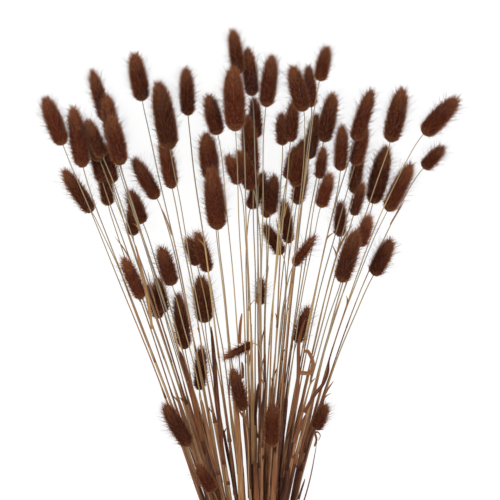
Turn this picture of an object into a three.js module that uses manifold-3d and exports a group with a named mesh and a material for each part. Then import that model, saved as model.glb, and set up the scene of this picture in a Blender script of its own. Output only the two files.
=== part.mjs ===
// A bunch of dried bunny tail grass, tied and lying on a table, its heads towards +Y.
// Millimetres, +Z up, with the origin on the table under the middle of the bunch.
//
// Each stalk is a thin stem in a flat leaf sheath, with one dense, furry seed head. The stalks
// are laid one on another, as a hand lays them: a stalk takes the lowest place that clears
// every stalk under it, and heads that grew side by side are pressed into one clump.

import * as THREE from "three";
import { mergeVertices } from "three/addons/utils/BufferGeometryUtils.js";
import Module from "manifold-3d";

// Sizes of the bunch
const tieThickness = 2.2;        // twine under the lowest stems
const columnPitch = 2.5;         // stems side by side in the tie, pressed together
const rowPitch = 3.2;            // one layer of stems above the other in the tie
const cutEndLength = 52;         // stems below the tie
const cutEndSpread = 1.35;       // how far the cut ends splay
const cutEndJitter = 14;         // and how unevenly they were cut

// Sizes of a stalk without its head
const stemRadius = 0.8;
const neckPerWidth = 1.7;        // length of the bent neck for each millimetre of head width
const kneeShare = 0.6;           // how far up the stem its curve is steered
const bowLeft = 0.14;            // how far the stems draw in there before they fan out,
const bowRight = 0.46;           // as a share of their distance from the middle
const bowLengths = [170, 320];   // a shorter stalk runs straight, a longer one bows fully
const sheathHalfWidth = 1.9;
const sheathHalfThickness = 1.2;
const footHalfWidth = 1.45;
const footShare = 0.12;          // share of the stem over which its foot widens
const sheathEnd = [0.3, 0.72];   // share of the stem where its sheath ends
const sheathStep = 0.015;        // share over which the sheath gives way to the bare stem
const stemShares = [0, 0.25, 0.5, 0.75, 0.9, 1];
const stemSides = 4;

// Sizes of a leaf blade
const bladeShare = 0.36;         // how many of the stalks still have one
const bladeLength = [26, 62];
const bladeHalfWidth = [1.3, 2.3];
const bladeHalfThickness = 0.36;
const bladeRoot = 0.7;           // width at its root, of its full width
const bladeTaper = 1.05;         // a little over 1, so that the tip keeps some width
const bladeSpread = [0.1, 0.42]; // angle to its stem, in radians
const bladeTurn = [0.4, 1.8];    // how that angle grows from the root to the tip
const bladeLift = [3, 14];       // how far its bend stands over its root
const bladeBend = 2.2;           // how much of a half wave that bend is, in radians
const bladeSteps = 5;
const bladeClimb = 9;            // a blade that would climb further is left out

// Sizes of a head
const headSides = 8;
const rowLength = 8;             // from one row of spikelets to the next
const fewestRows = 4;
const swellShare = 0.3;          // share of its length where a head is widest
const tipNarrowing = 0.62;       // how much narrower its tip is
const tipCurve = 2.2;            // how late that narrowing comes
const headEnds = [0.02, 0.97];   // where its blunt ends are cut
const tuftDepth = 0.22;          // depth of the relief between spikelets, of the radius
const tuftLean = 0.3;            // how far a spikelet leans to the tip, of a row's length
const headGap = 0.3;             // between a stem's end and the head it carries

// Sizes of the tie
const twineRadius = 1.1;
const twinePitch = 1.9;
const twineTurns = 4;
const tiePlace = -3;             // along the stems, just below where they part
const tieCorner = 2.2;
const tieGap = 0.75;
const tieLoopSteps = 3;          // steps in each corner of a turn
const valleyDepth = 1.3;         // height of the valley between two turns, in twine radii
const knotRadius = 2.6;
const tailLength = 27;
const tailRise = 6;
const tailSides = 5;
const tailSteps = 6;

// How the stalks are laid
const settle = 0.5;              // how far the lowest heads are flattened by the table
const pressDepth = 0.4;          // how deep two heads of a clump sit in each other
const sidePress = 0.15;          // and sideways
const steerShare = 0.33;         // how soon a stem rises, where nothing lies under it
const testSteps = 130;           // points of a stem tested against those under it
const laidSteps = 26;            // stretches of a laid stem
const headTests = [0.06, 0.18, 0.3, 0.42, 0.54, 0.66, 0.78, 0.9, 0.98];
const neckTests = [0.95, 0.97, 0.99];
const liftStep = 1.5;            // a clump is tried this much higher, so many times
const liftTries = 40;
const archCost = 1.1;            // a high arch in a stem is worse than a high head

// The air that one thing keeps to another: over it and beside it, and what is left of the
// distance between them where they are pressed together
const overOthers = { air: 1, side: 0.6, depth: 1, width: 1, onTable: true };
const besideNeighbour = { air: 0.7, side: 0.6, depth: 1, width: 1, onTable: false };
const pressedTogether = {
  air: 0, side: 0, depth: 1 - pressDepth, width: 1 - sidePress, onTable: false,
};

// Corners that a join left closer together than this become one
const sliver = 0.008;

// The clumps. A line holds the layer of stems, counted from the table, and then for each head
// its tip x, tip y, base x, base y and width, seen from above and measured from the tie. The
// layers are laid in turn, and the fifth clump is a head that lies across the upper stems.
const clumps = [
  [1, [-100, 313, -89, 281, 13], [-92, 319, -85, 286, 13]],
  [1, [-73, 306, -66, 253, 15]],
  [1, [-52, 321, -48, 277, 18]],
  [1, [-51, 257, -53, 216, 13]],
  [7, [-32, 245, -5, 259, 10]],
  [1, [3, 318, 2, 293, 11]],
  [1, [23, 390, 28, 349, 13]],
  [1, [46, 293, 35, 259, 13]],
  [1, [5, 367, 22, 339, 13]],

  [2, [-114, 384, -113, 356, 13], [-117, 398, -104, 367, 15]],
  [2, [-64, 355, -55, 329, 13], [-56, 361, -45, 323, 14]],
  [2, [8, 406, 8, 372, 12], [6, 414, -7, 380, 14], [15, 412, 11, 375, 14]],
  [2, [75, 388, 74, 355, 13]],
  [2, [169, 437, 150, 417, 14]],

  [3, [-140, 419, -135, 383, 14], [-149, 442, -140, 404, 14], [-137, 440, -131, 403, 14]],
  [3, [-177, 417, -150, 377, 15]],
  [3, [42, 424, 35, 384, 14], [34, 437, 26, 407, 12], [41, 444, 33, 400, 15],
    [53, 467, 46, 425, 14], [68, 486, 59, 440, 16]],
  [3, [59, 436, 55, 407, 12]],
  [3, [65, 413, 56, 381, 14]],
  [3, [117, 439, 104, 385, 18]],

  [4, [-4, 482, -1, 444, 13], [-10, 467, -5, 410, 16], [-18, 433, -4, 397, 17],
    [-28, 429, -17, 402, 13]],
  [4, [-113, 427, -91, 389, 15]],
  [4, [-65, 509, -63, 464, 15]],
  [4, [93, 437, 86, 394, 13], [95, 405, 86, 374, 12], [97, 456, 87, 419, 15],
    [103, 489, 87, 441, 15]],
  [4, [140, 423, 117, 378, 16]],
  [4, [-112, 522, -104, 477, 17]],

  [5, [-157, 458, -142, 423, 14], [-154, 461, -139, 426, 14], [-167, 474, -157, 417, 17]],
  [5, [-150, 507, -137, 459, 14], [-136, 484, -130, 437, 15], [-132, 465, -123, 419, 17]],
  [5, [21, 467, 22, 437, 13], [32, 478, 29, 440, 14]],
  [5, [45, 510, 48, 471, 13], [30, 509, 41, 467, 17]],

  [6, [-86, 447, -77, 398, 15], [-90, 497, -79, 433, 20]],
  [6, [-47, 450, -42, 406, 18], [-42, 419, -36, 361, 19]],
  [6, [-10, 526, -5, 481, 15]],
  [6, [-23, 542, -17, 500, 14]],
  [6, [-45, 483, -36, 446, 16]],
  [6, [-192, 482, -175, 437, 17]],
  [6, [52, 357, 32, 329, 11]],
  [6, [62, 526, 55, 494, 14]],
  [6, [76, 457, 74, 414, 14]],
  [6, [131, 491, 119, 440, 18]],

  [7, [-23, 509, -20, 449, 20]],
  [7, [13, 519, 7, 471, 16]],
  [7, [181, 481, 149, 447, 18]],
  [7, [-122, 338, -104, 299, 14]],
  [7, [100, 375, 91, 346, 14], [89, 363, 74, 314, 17]],
  [7, [121, 354, 104, 320, 16]],
  [7, [-88, 347, -77, 311, 16]],
  [7, [-23, 238, -13, 199, 14]],
  [7, [13, 208, 12, 166, 15]],
  [7, [62, 205, 52, 181, 13]],
  [7, [-85, 206, -62, 167, 16]],
  [7, [-55, 151, -40, 126, 14]],
];

// A steady draw between 0 and 1 for a stalk's number
function draw(number, salt) {
  const wave = Math.sin(number * 12.9898 + salt * 78.233) * 43758.5453;
  return wave - Math.floor(wave);
}

const mix = (a, b, share) => a + (b - a) * share;

// Stalks, each with its foot in the tie: a layer is a row there, sorted by bearing
const stalks = [];
clumps.forEach(([layer, ...heads], clump) => {
  heads.forEach(([tipX, tipY, baseX, baseY, width]) => {
    stalks.push({
      number: stalks.length,
      clump,
      layer,
      tip: new THREE.Vector2(tipX, tipY),
      base: new THREE.Vector2(baseX, baseY),
      radius: width / 2,
    });
  });
});

const layerCount = Math.max(...stalks.map((stalk) => stalk.layer));
for (let layer = 1; layer <= layerCount; layer++) {
  const row = stalks.filter((stalk) => stalk.layer === layer);
  row.sort((a, b) => a.base.x / a.base.y - b.base.x / b.base.y);
  const stagger = layer % 2 ? 0 : columnPitch / 2;
  row.forEach((stalk, column) => {
    const x = (column - (row.length - 1) / 2) * columnPitch + stagger;
    const z = tieThickness + sheathHalfThickness + (layer - 1) * rowPitch;
    stalk.foot = new THREE.Vector3(x, 0, z);
  });
}

function bezier(a, b, c, d, t) {
  const s = 1 - t;
  return s * s * s * a + 3 * s * s * t * b + 3 * s * t * t * c + t * t * t * d;
}

// A stem's plan, seen from above: from its foot, over two knees, to the base of its head
for (const stalk of stalks) {
  const heading = stalk.tip.clone().sub(stalk.base);
  stalk.headLength = heading.length();
  stalk.heading = heading.normalize();
  const neck = stalk.radius * 2 * neckPerWidth;
  const knee = stalk.base.clone().addScaledVector(heading, -neck);
  const lowKnee = new THREE.Vector2(stalk.foot.x, stalk.foot.y).lerp(knee, kneeShare);
  const share = (stalk.base.y - bowLengths[0]) / (bowLengths[1] - bowLengths[0]);
  const bow = THREE.MathUtils.clamp(share, 0, 1) * (knee.x < 0 ? bowLeft : bowRight);
  lowKnee.x *= 1 - bow;
  stalk.plan = (t) => [
    bezier(stalk.foot.x, lowKnee.x, knee.x, stalk.base.x, t),
    bezier(stalk.foot.y, lowKnee.y, knee.y, stalk.base.y, t),
  ];
  stalk.sheathEnd = mix(...sheathEnd, draw(stalk.number, 1));
}

// Half width and half thickness of a stem in its sheath at share t
function stemSection(stalk, t) {
  if (t > stalk.sheathEnd) {
    return [stemRadius, stemRadius];
  }
  const opening = Math.min(1, t / footShare);
  return [mix(footHalfWidth, sheathHalfWidth, opening), sheathHalfThickness];
}

// Radius of a head at share s from its base to its tip
function headRadius(stalk, s) {
  const rise = Math.min(1, s / swellShare);
  const fall = Math.max(0, (s - swellShare) / (1 - swellShare));
  return stalk.radius * Math.sqrt(1 - (1 - rise) ** 2) * (1 - tipNarrowing * fall ** tipCurve);
}

// Stretches of what is laid: x, y, z of both ends, half width, half thickness, owner
const laid = [];

const isHead = (stretch) => stretch.part === "head";
const isStem = (stretch) => stretch.part === "stem";

// The lowest height at which a round thing lies over the stretches that it doesn't ignore
function heightOver(x, y, halfWidth, halfThickness, ignores, fit = overOthers) {
  const isWide = halfThickness > stemRadius * 2;
  let height = fit.onTable ? halfThickness - (isWide ? settle : 0) : -Infinity;
  for (const stretch of laid) {
    if (ignores(stretch)) {
      continue;
    }
    const alongX = stretch.x1 - stretch.x0;
    const alongY = stretch.y1 - stretch.y0;
    const square = alongX * alongX + alongY * alongY;
    const raw = ((x - stretch.x0) * alongX + (y - stretch.y0) * alongY) / square;
    const t = Math.min(1, Math.max(0, raw));
    const away = Math.hypot(x - stretch.x0 - t * alongX, y - stretch.y0 - t * alongY);
    const share = away / ((halfWidth + stretch.halfWidth) * fit.width + fit.side);
    if (share < 1) {
      const need = (halfThickness + stretch.halfThickness) * fit.depth + fit.air;
      const z = mix(stretch.z0, stretch.z1, t);
      height = Math.max(height, z + need * Math.sqrt(1 - share * share));
    }
  }
  return height;
}

function headPoint(stalk, s) {
  const along = stalk.headLength * s;
  return [stalk.base.x + stalk.heading.x * along, stalk.base.y + stalk.heading.y * along];
}

function headHeight(stalk, ignores, fit) {
  return Math.max(...headTests.map((s) => {
    const radius = headRadius(stalk, s);
    return heightOver(...headPoint(stalk, s), radius, radius, ignores, fit);
  }));
}

function layHead(stalk) {
  for (let i = 0; i < headTests.length - 1; i++) {
    const [x0, y0] = headPoint(stalk, headTests[i]);
    const [x1, y1] = headPoint(stalk, headTests[i + 1]);
    const radius = Math.max(headRadius(stalk, headTests[i]), headRadius(stalk, headTests[i + 1]));
    laid.push({
      x0, y0, x1, y1, z0: stalk.height, z1: stalk.height,
      halfWidth: radius, halfThickness: radius, stalk, part: "head",
    });
  }
}

// A stem is steered to one height and then runs level into its head
function stemHeight(stalk, t) {
  return bezier(stalk.foot.z, stalk.steer, stalk.height, stalk.height, t);
}

function layStem(stalk) {
  for (let i = 0; i < laidSteps; i++) {
    const t0 = i / laidSteps;
    const t1 = (i + 1) / laidSteps;
    const [x0, y0] = stalk.plan(t0);
    const [x1, y1] = stalk.plan(t1);
    const [halfWidth, halfThickness] = stemSection(stalk, t0);
    laid.push({
      x0, y0, x1, y1, z0: stemHeight(stalk, t0), z1: stemHeight(stalk, t1),
      halfWidth, halfThickness, stalk, part: "stem",
    });
  }
}

// The lowest heights that a stem may have, at each of its test points
function stemFloor(stalk) {
  const ignores = (stretch) => !isHead(stretch) && stretch.stalk.layer === stalk.layer;
  const floor = [];
  for (let i = 1; i < testSteps; i++) {
    const t = i / testSteps;
    floor.push([t, heightOver(...stalk.plan(t), ...stemSection(stalk, t), ignores)]);
  }
  return floor;
}

// The steering height with which a stem that ends at a height clears its floor
function steerFor(stalk, floor, height) {
  let steer = mix(stalk.foot.z, height, steerShare);
  for (const [t, low] of floor) {
    const rest = bezier(stalk.foot.z, 0, height, height, t);
    steer = Math.max(steer, (low - rest) / bezier(0, 1, 0, 0, t));
  }
  return steer;
}

// A leaf blade leaves the top of the sheath, arches over what lies beside it and narrows to a
// point. It is left out where it would have to climb too high.
function planBlade(stalk) {
  if (draw(stalk.number, 3) > bladeShare) {
    return null;
  }
  const rootShare = stalk.sheathEnd - 0.01;
  let [x, y] = stalk.plan(rootShare);
  const [nextX, nextY] = stalk.plan(rootShare + 0.02);
  const bearing = Math.atan2(nextY - y, nextX - x);
  const side = draw(stalk.number, 4) < 0.5 ? -1 : 1;
  const spread = side * mix(...bladeSpread, draw(stalk.number, 5));
  const length = mix(...bladeLength, draw(stalk.number, 6));
  const widest = mix(...bladeHalfWidth, draw(stalk.number, 7));
  const lift = mix(...bladeLift, draw(stalk.number, 8));
  const root = stemHeight(stalk, rootShare);
  const ignores = (stretch) => !isHead(stretch) && stretch.stalk.layer === stalk.layer;
  const points = [];
  let climb = 0;
  for (let i = 0; i <= bladeSteps; i++) {
    const share = i / bladeSteps;
    const halfWidth = widest * Math.sqrt(bladeTaper - share ** 3) * (i ? 1 : bladeRoot);
    const free = root + lift * Math.sin(share * bladeBend);
    const floor = heightOver(x, y, halfWidth, bladeHalfThickness, ignores);
    const z = i ? Math.max(free, floor) : root;
    climb = Math.max(climb, z - free);
    points.push({ x, y, z, halfWidth });
    const heading = bearing + spread * mix(...bladeTurn, share);
    x += Math.cos(heading) * length / bladeSteps;
    y += Math.sin(heading) * length / bladeSteps;
  }
  return climb < bladeClimb ? points : null;
}

function layBlade(stalk) {
  stalk.blade = planBlade(stalk);
  for (let i = 0; i < bladeSteps && stalk.blade; i++) {
    const from = stalk.blade[i];
    const to = stalk.blade[i + 1];
    laid.push({
      x0: from.x, y0: from.y, z0: from.z, x1: to.x, y1: to.y, z1: to.z,
      halfWidth: Math.max(from.halfWidth, to.halfWidth), halfThickness: bladeHalfThickness,
      stalk, part: "blade",
    });
  }
}

// A clump is first put together by itself, each head on the ones before it. Then it is laid at
// the height that costs least, counting how far its stems have to arch over what is below.
function layClump(members) {
  const mark = laid.length;
  const offsets = [];
  let ground = 0;
  members.forEach((stalk, index) => {
    const isOwn = (stretch) => stretch.stalk.clump === stalk.clump;
    const notHead = (stretch) => !isOwn(stretch) || isStem(stretch);
    const notStem = (stretch) => !isOwn(stretch) || !isStem(stretch);
    const necks = neckTests.map((t) => (
      heightOver(...stalk.plan(t), stemRadius, stemRadius, notHead, besideNeighbour)
    ));
    offsets[index] = Math.max(
      0,
      headHeight(stalk, notHead, pressedTogether),
      headHeight(stalk, notStem, besideNeighbour),
      ...necks,
    );
    ground = Math.max(ground, headHeight(stalk, isOwn) - offsets[index]);
    stalk.height = offsets[index];
    stalk.steer = offsets[index];
    layStem(stalk);
    layHead(stalk);
  });
  laid.length = mark;
  const floors = members.map(stemFloor);
  let best = { cost: Infinity };
  for (let i = 0; i < liftTries; i++) {
    const base = ground + i * liftStep;
    const steers = members.map((stalk, k) => steerFor(stalk, floors[k], base + offsets[k]));
    const arches = steers.map((steer, k) => Math.max(0, steer - base - offsets[k]));
    const cost = base + archCost * Math.max(...arches);
    if (cost < best.cost) {
      best = { cost, base, steers };
    }
  }
  members.forEach((stalk, index) => {
    stalk.height = best.base + offsets[index];
    stalk.steer = best.steers[index];
    layStem(stalk);
    layHead(stalk);
  });
  members.forEach(layBlade);
}

const membersOf = clumps.map((_, clump) => stalks.filter((stalk) => stalk.clump === clump));
membersOf.toSorted((a, b) => a[0].layer - b[0].layer).forEach(layClump);

// A solid skinned over rings of points, each ring counterclockwise seen from its end. Its ends
// are capped, or its last ring is joined to its first.
function skin(rings, endless = false) {
  const sides = rings[0].length;
  const count = rings.length * sides;
  const positions = rings.flat().flatMap((point) => point.toArray());
  const index = [];
  for (let row = 0; row < rings.length - (endless ? 0 : 1); row++) {
    for (let side = 0; side < sides; side++) {
      const a = row * sides + side;
      const b = row * sides + (side + 1) % sides;
      const c = (a + sides) % count;
      const d = (b + sides) % count;
      index.push(a, b, c, b, d, c);
    }
  }
  const last = count - sides;
  for (let side = 1; side < sides - 1 && !endless; side++) {
    index.push(0, side + 1, side);
    index.push(last, last + side, last + side + 1);
  }
  const geometry = new THREE.BufferGeometry();
  geometry.setAttribute("position", new THREE.Float32BufferAttribute(positions, 3));
  geometry.setIndex(index);
  return geometry;
}

const wasm = await Module();
wasm.setup();

function solid(geometry) {
  const bare = geometry.clone();
  bare.deleteAttribute("normal");
  bare.deleteAttribute("uv");
  const merged = mergeVertices(bare, 1e-4);
  const vertProperties = new Float32Array(merged.attributes.position.array);
  const triVerts = new Uint32Array(merged.index.array);
  return new wasm.Manifold(new wasm.Mesh({ numProp: 3, vertProperties, triVerts }));
}

function fuse(geometries) {
  return geometries.map(solid).reduce((whole, piece) => whole.add(piece));
}

function toGeometry(manifold) {
  const mesh = manifold.getMesh();
  const corners = [];
  const place = Array.from({ length: mesh.vertProperties.length / 3 }, (_, i) => {
    const corner = new THREE.Vector3().fromArray(mesh.vertProperties, i * 3);
    const twin = corners.findIndex((other) => other.distanceTo(corner) < sliver);
    return twin < 0 ? corners.push(corner) - 1 : twin;
  });
  const index = [];
  for (let i = 0; i < mesh.triVerts.length; i += 3) {
    const [a, b, c] = [0, 1, 2].map((k) => place[mesh.triVerts[i + k]]);
    if (a !== b && b !== c && c !== a) {
      index.push(a, b, c);
    }
  }
  const geometry = new THREE.BufferGeometry().setFromPoints(corners);
  geometry.setIndex(index);
  return geometry;
}

const up = new THREE.Vector3(0, 0, 1);

// A ring round a point of a path: corners on an ellipse, wide across and thin upwards. A corner
// may be pulled in and pushed forward along the path.
function ring(centre, along, halfWidth, halfThickness, sides, corner = () => [1, 0]) {
  const across = new THREE.Vector3().crossVectors(along, up).normalize();
  const over = new THREE.Vector3().crossVectors(along, across).normalize();
  return Array.from({ length: sides }, (_, side) => {
    const angle = (side / sides) * Math.PI * 2;
    const [swell, forward] = corner(side);
    return centre.clone()
      .addScaledVector(across, Math.cos(angle) * halfWidth * swell)
      .addScaledVector(over, Math.sin(angle) * halfThickness * swell)
      .addScaledVector(along, forward);
  });
}

// The directions of a path at its points, each taken from the points before and after it
function headingsOf(points) {
  return points.map((_, i) => {
    const before = points[Math.max(0, i - 1)];
    const after = points[Math.min(points.length - 1, i + 1)];
    return after.clone().sub(before).normalize();
  });
}

// A head: an oval whose rows of spikelets stand out in points that lean towards the tip
function makeHead(stalk) {
  const along = new THREE.Vector3(stalk.heading.x, stalk.heading.y, 0);
  const base = new THREE.Vector3(stalk.base.x, stalk.base.y, stalk.height);
  const rowCount = Math.max(fewestRows, Math.round(stalk.headLength / rowLength));
  const spacing = stalk.headLength / rowCount;
  const rings = [];
  for (let row = 0; row <= rowCount; row++) {
    const radius = headRadius(stalk, mix(...headEnds, row / rowCount));
    const place = headEnds[1] * stalk.headLength * row / rowCount;
    const isEnd = row === 0 || row === rowCount;
    rings.push(ring(base.clone().addScaledVector(along, place), along, radius, radius, headSides,
      (side) => {
        const isTuft = (side + row) % 2 === 0;
        return isEnd ? [1, 0] : [isTuft ? 1 : 1 - tuftDepth, isTuft ? spacing * tuftLean : 0];
      }));
  }
  return skin(rings);
}

// A stalk without its head: cut end, sheath and bare stem, as one skin
function makeStem(stalk) {
  const end = new THREE.Vector3(
    stalk.foot.x * cutEndSpread,
    -cutEndLength - cutEndJitter * draw(stalk.number, 2),
    stalk.foot.z,
  );
  const top = stalk.sheathEnd;
  const clearOfTop = (t) => Math.abs(t - top) > 4 * sheathStep;
  const shares = [...stemShares.filter(clearOfTop), top, top + sheathStep];
  shares.sort((a, b) => a - b);
  const points = shares.map((t) => new THREE.Vector3(...stalk.plan(t), stemHeight(stalk, t)));
  const heading = new THREE.Vector3(stalk.heading.x, stalk.heading.y, 0);
  points.at(-1).addScaledVector(heading, -headGap);
  points.unshift(end);
  const sections = [[footHalfWidth, sheathHalfThickness]];
  sections.push(...shares.map((t) => stemSection(stalk, t)));
  const headings = [...headingsOf(points).slice(0, -1), heading];
  return skin(points.map((point, i) => ring(point, headings[i], ...sections[i], stemSides)));
}

function makeBlade(stalk) {
  const points = stalk.blade.map(({ x, y, z }) => new THREE.Vector3(x, y, z));
  const headings = headingsOf(points);
  return skin(points.map((point, i) => (
    ring(point, headings[i], stalk.blade[i].halfWidth, bladeHalfThickness, stemSides)
  )));
}

// What lies under the table's surface is cut off, so the lowest heads and the tie rest flat
function cutAtTable(manifold) {
  const slab = new THREE.BoxGeometry(2000, 2000, 10);
  slab.translate(0, 0, -5);
  return manifold.boundingBox().min[2] < 0 ? manifold.subtract(solid(slab)) : manifold;
}

// The tie: turns of twine side by side round the bundle, with a knot on top and two tails
const bundle = new THREE.Box3();
for (const { foot } of stalks) {
  const reach = new THREE.Vector3(footHalfWidth, 0, sheathHalfThickness);
  bundle.expandByPoint(foot.clone().add(reach));
  bundle.expandByPoint(foot.clone().sub(reach));
}

// The outline of one turn: the bundle's corners, rounded, at an offset from its inner side
function turnOutline(offset) {
  const inset = tieCorner - tieGap;
  const corners = [
    [bundle.max.x - inset, bundle.min.z + inset, -Math.PI / 2],
    [bundle.max.x - inset, bundle.max.z - inset, 0],
    [bundle.min.x + inset, bundle.max.z - inset, Math.PI / 2],
    [bundle.min.x + inset, bundle.min.z + inset, Math.PI],
  ];
  const radius = tieCorner + offset;
  return corners.flatMap(([x, z, from]) => (
    Array.from({ length: tieLoopSteps + 1 }, (_, i) => {
      const angle = from + (i / tieLoopSteps) * Math.PI / 2;
      return [x + Math.cos(angle) * radius, z + Math.sin(angle) * radius];
    })
  ));
}

function makeTie() {
  const half = twineTurns / 2;
  const section = [[0, half], [0, -half]];
  for (let turn = 1; turn <= twineTurns; turn++) {
    section.push([twineRadius * 2, turn - 0.5 - half]);
    if (turn < twineTurns) {
      section.push([twineRadius * valleyDepth, turn - half]);
    }
  }
  const outlines = section.map(([offset, place]) => (
    turnOutline(offset).map(([x, z]) => new THREE.Vector3(x, tiePlace + place * twinePitch, z))
  ));
  const rings = outlines[0].map((_, i) => outlines.map((outline) => outline[i]));
  const band = skin(rings, true);
  const top = bundle.max.z + tieGap + twineRadius;
  const knot = new THREE.IcosahedronGeometry(knotRadius, 1);
  knot.translate(0, tiePlace, top + twineRadius);
  const tails = [-1, 1].map((side) => {
    const curve = new THREE.CubicBezierCurve3(
      new THREE.Vector3(side, tiePlace, top + twineRadius),
      new THREE.Vector3(side * 5, tiePlace - tailLength * 0.3, top + tailRise),
      new THREE.Vector3(side * 9, tiePlace - tailLength * 0.6, top + 1),
      new THREE.Vector3(side * 7, tiePlace - tailLength, top + 0.5),
    );
    return skin(curve.getPoints(tailSteps).map((centre, i) => (
      ring(centre, curve.getTangent(i / tailSteps), twineRadius, twineRadius, tailSides)
    )));
  });
  return fuse([band, knot, ...tails]);
}

const headMaterial = new THREE.MeshStandardMaterial({
  name: "dried_seed_head",
  color: 0x4a2818,
  roughness: 0.95,
  metalness: 0,
});
const stemMaterial = new THREE.MeshStandardMaterial({
  name: "dried_stem",
  color: 0x9a7848,
  roughness: 0.75,
  metalness: 0,
});
const tieMaterial = new THREE.MeshStandardMaterial({
  name: "jute_twine",
  color: 0xb79a6a,
  roughness: 0.95,
  metalness: 0,
});

const bunch = new THREE.Group();

function addNode(name, geometry, material) {
  const mesh = new THREE.Mesh(geometry, material);
  mesh.name = name;
  bunch.add(mesh);
}

membersOf.forEach((members, clump) => {
  const name = members.length > 1 ? "heads" : "head";
  const whole = cutAtTable(fuse(members.map(makeHead)));
  addNode(`${name}_${String(clump + 1).padStart(2, "0")}`, toGeometry(whole), headMaterial);
});

for (let layer = 1; layer <= layerCount; layer++) {
  const row = stalks.filter((stalk) => stalk.layer === layer);
  const blades = row.filter((stalk) => stalk.blade).map(makeBlade);
  const whole = fuse([...row.map(makeStem), ...blades]);
  addNode(`stems_layer_${layer}`, toGeometry(whole), stemMaterial);
}

addNode("twine_tie", toGeometry(cutAtTable(makeTie())), tieMaterial);

// The tie was at the origin until here: now the middle of the whole bunch is
const middle = new THREE.Box3().setFromObject(bunch, true).getCenter(new THREE.Vector3());
for (const mesh of bunch.children) {
  mesh.geometry.translate(-middle.x, -middle.y, 0);
}

export default bunch;
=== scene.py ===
# A tied bunch of dried bunny tail grass, laid on a white table and seen from above
from types import SimpleNamespace

import bpy
import numpy as np
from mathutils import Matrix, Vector


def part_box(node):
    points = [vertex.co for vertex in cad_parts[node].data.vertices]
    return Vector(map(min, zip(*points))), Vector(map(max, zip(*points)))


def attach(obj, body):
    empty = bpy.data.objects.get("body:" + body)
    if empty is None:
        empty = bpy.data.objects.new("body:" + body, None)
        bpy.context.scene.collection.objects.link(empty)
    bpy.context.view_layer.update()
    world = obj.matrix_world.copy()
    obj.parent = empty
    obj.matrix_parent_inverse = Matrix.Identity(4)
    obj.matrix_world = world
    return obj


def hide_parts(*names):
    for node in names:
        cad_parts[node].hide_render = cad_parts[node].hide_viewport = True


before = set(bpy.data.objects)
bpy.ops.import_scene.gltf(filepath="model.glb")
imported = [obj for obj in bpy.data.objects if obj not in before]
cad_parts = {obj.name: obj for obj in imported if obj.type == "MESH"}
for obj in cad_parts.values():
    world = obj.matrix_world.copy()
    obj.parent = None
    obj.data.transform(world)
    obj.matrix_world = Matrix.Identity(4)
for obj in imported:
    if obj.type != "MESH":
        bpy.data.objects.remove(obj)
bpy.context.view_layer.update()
print("frame loaded:", len(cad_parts), "solids")

millimetre = 0.001
fullTurn = 2 * np.pi
up = np.array([0.0, 0.0, 1.0])
seeds = {"head": 1000, "stem": 5000, "sheath": 7000, "blade": 9000, "tie": 77}


def mix(a, b, share):
    return a + (b - a) * share


def unit(vectors):
    return vectors / np.maximum(np.linalg.norm(vectors, axis=-1, keepdims=True), 1e-9)


def drawsFor(piece, number=0):  # random draws that are the same in each run
    return np.random.default_rng(seeds[piece] + number)


# The bunch, in millimetres measured from the tie, as its solids were laid
bunch = {
    "tieThickness": 2.2, "columnPitch": 2.5, "rowPitch": 3.2,
    "cutEndLength": 52, "cutEndSpread": 1.35, "cutEndJitter": 14,
    "stemRadius": 0.8, "neckPerWidth": 1.7, "kneeShare": 0.6,
    "bow": (0.14, 0.46), "bowLengths": (170, 320),  # drawn in on the left and right, if that long
    "sheathHalfWidth": 1.9, "sheathHalfThickness": 1.2, "footHalfWidth": 1.45, "footShare": 0.12,
    "sheathEnd": (0.3, 0.72),
    "bladeShare": 0.36, "bladeLength": (26, 62), "bladeHalfWidth": (1.3, 2.3), "bladeInset": 0.01,
    "bladeHalfThickness": 0.36, "bladeRoot": 0.7, "bladeTaper": 1.05, "bladeSpread": (0.1, 0.42),
    "bladeTurn": (0.4, 1.8), "bladeLift": (3, 14), "bladeBend": 2.2, "bladeSteps": 5, "bladeClimb": 9,
    "swellShare": 0.3, "tipNarrowing": 0.62, "tipCurve": 2.2,
    "settle": 0.5, "pressDepth": 0.4, "sidePress": 0.15, "steerShare": 0.33,
    "testSteps": 130, "laidSteps": 26, "liftStep": 1.5, "liftTries": 40, "archCost": 1.1,
    "tiePlace": -3, "twinePitch": 1.9, "twineTurns": 4,
}
# Where a head and a neck are tried, along their length, against what lies under them
headTests = np.array([0.06, 0.18, 0.3, 0.42, 0.54, 0.66, 0.78, 0.9, 0.98])
neckTests = np.array([0.95, 0.97, 0.99])
# How things lie on each other: the air above and beside, and how much of depth and width counts
overOthers = {"air": 1, "side": 0.6, "depth": 1, "width": 1, "onTable": True}
besideNeighbour = {"air": 0.7, "side": 0.6, "depth": 1, "width": 1, "onTable": False}
pressedTogether = {"air": 0, "side": 0, "depth": 1 - bunch["pressDepth"],
                   "width": 1 - bunch["sidePress"], "onTable": False}

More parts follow.
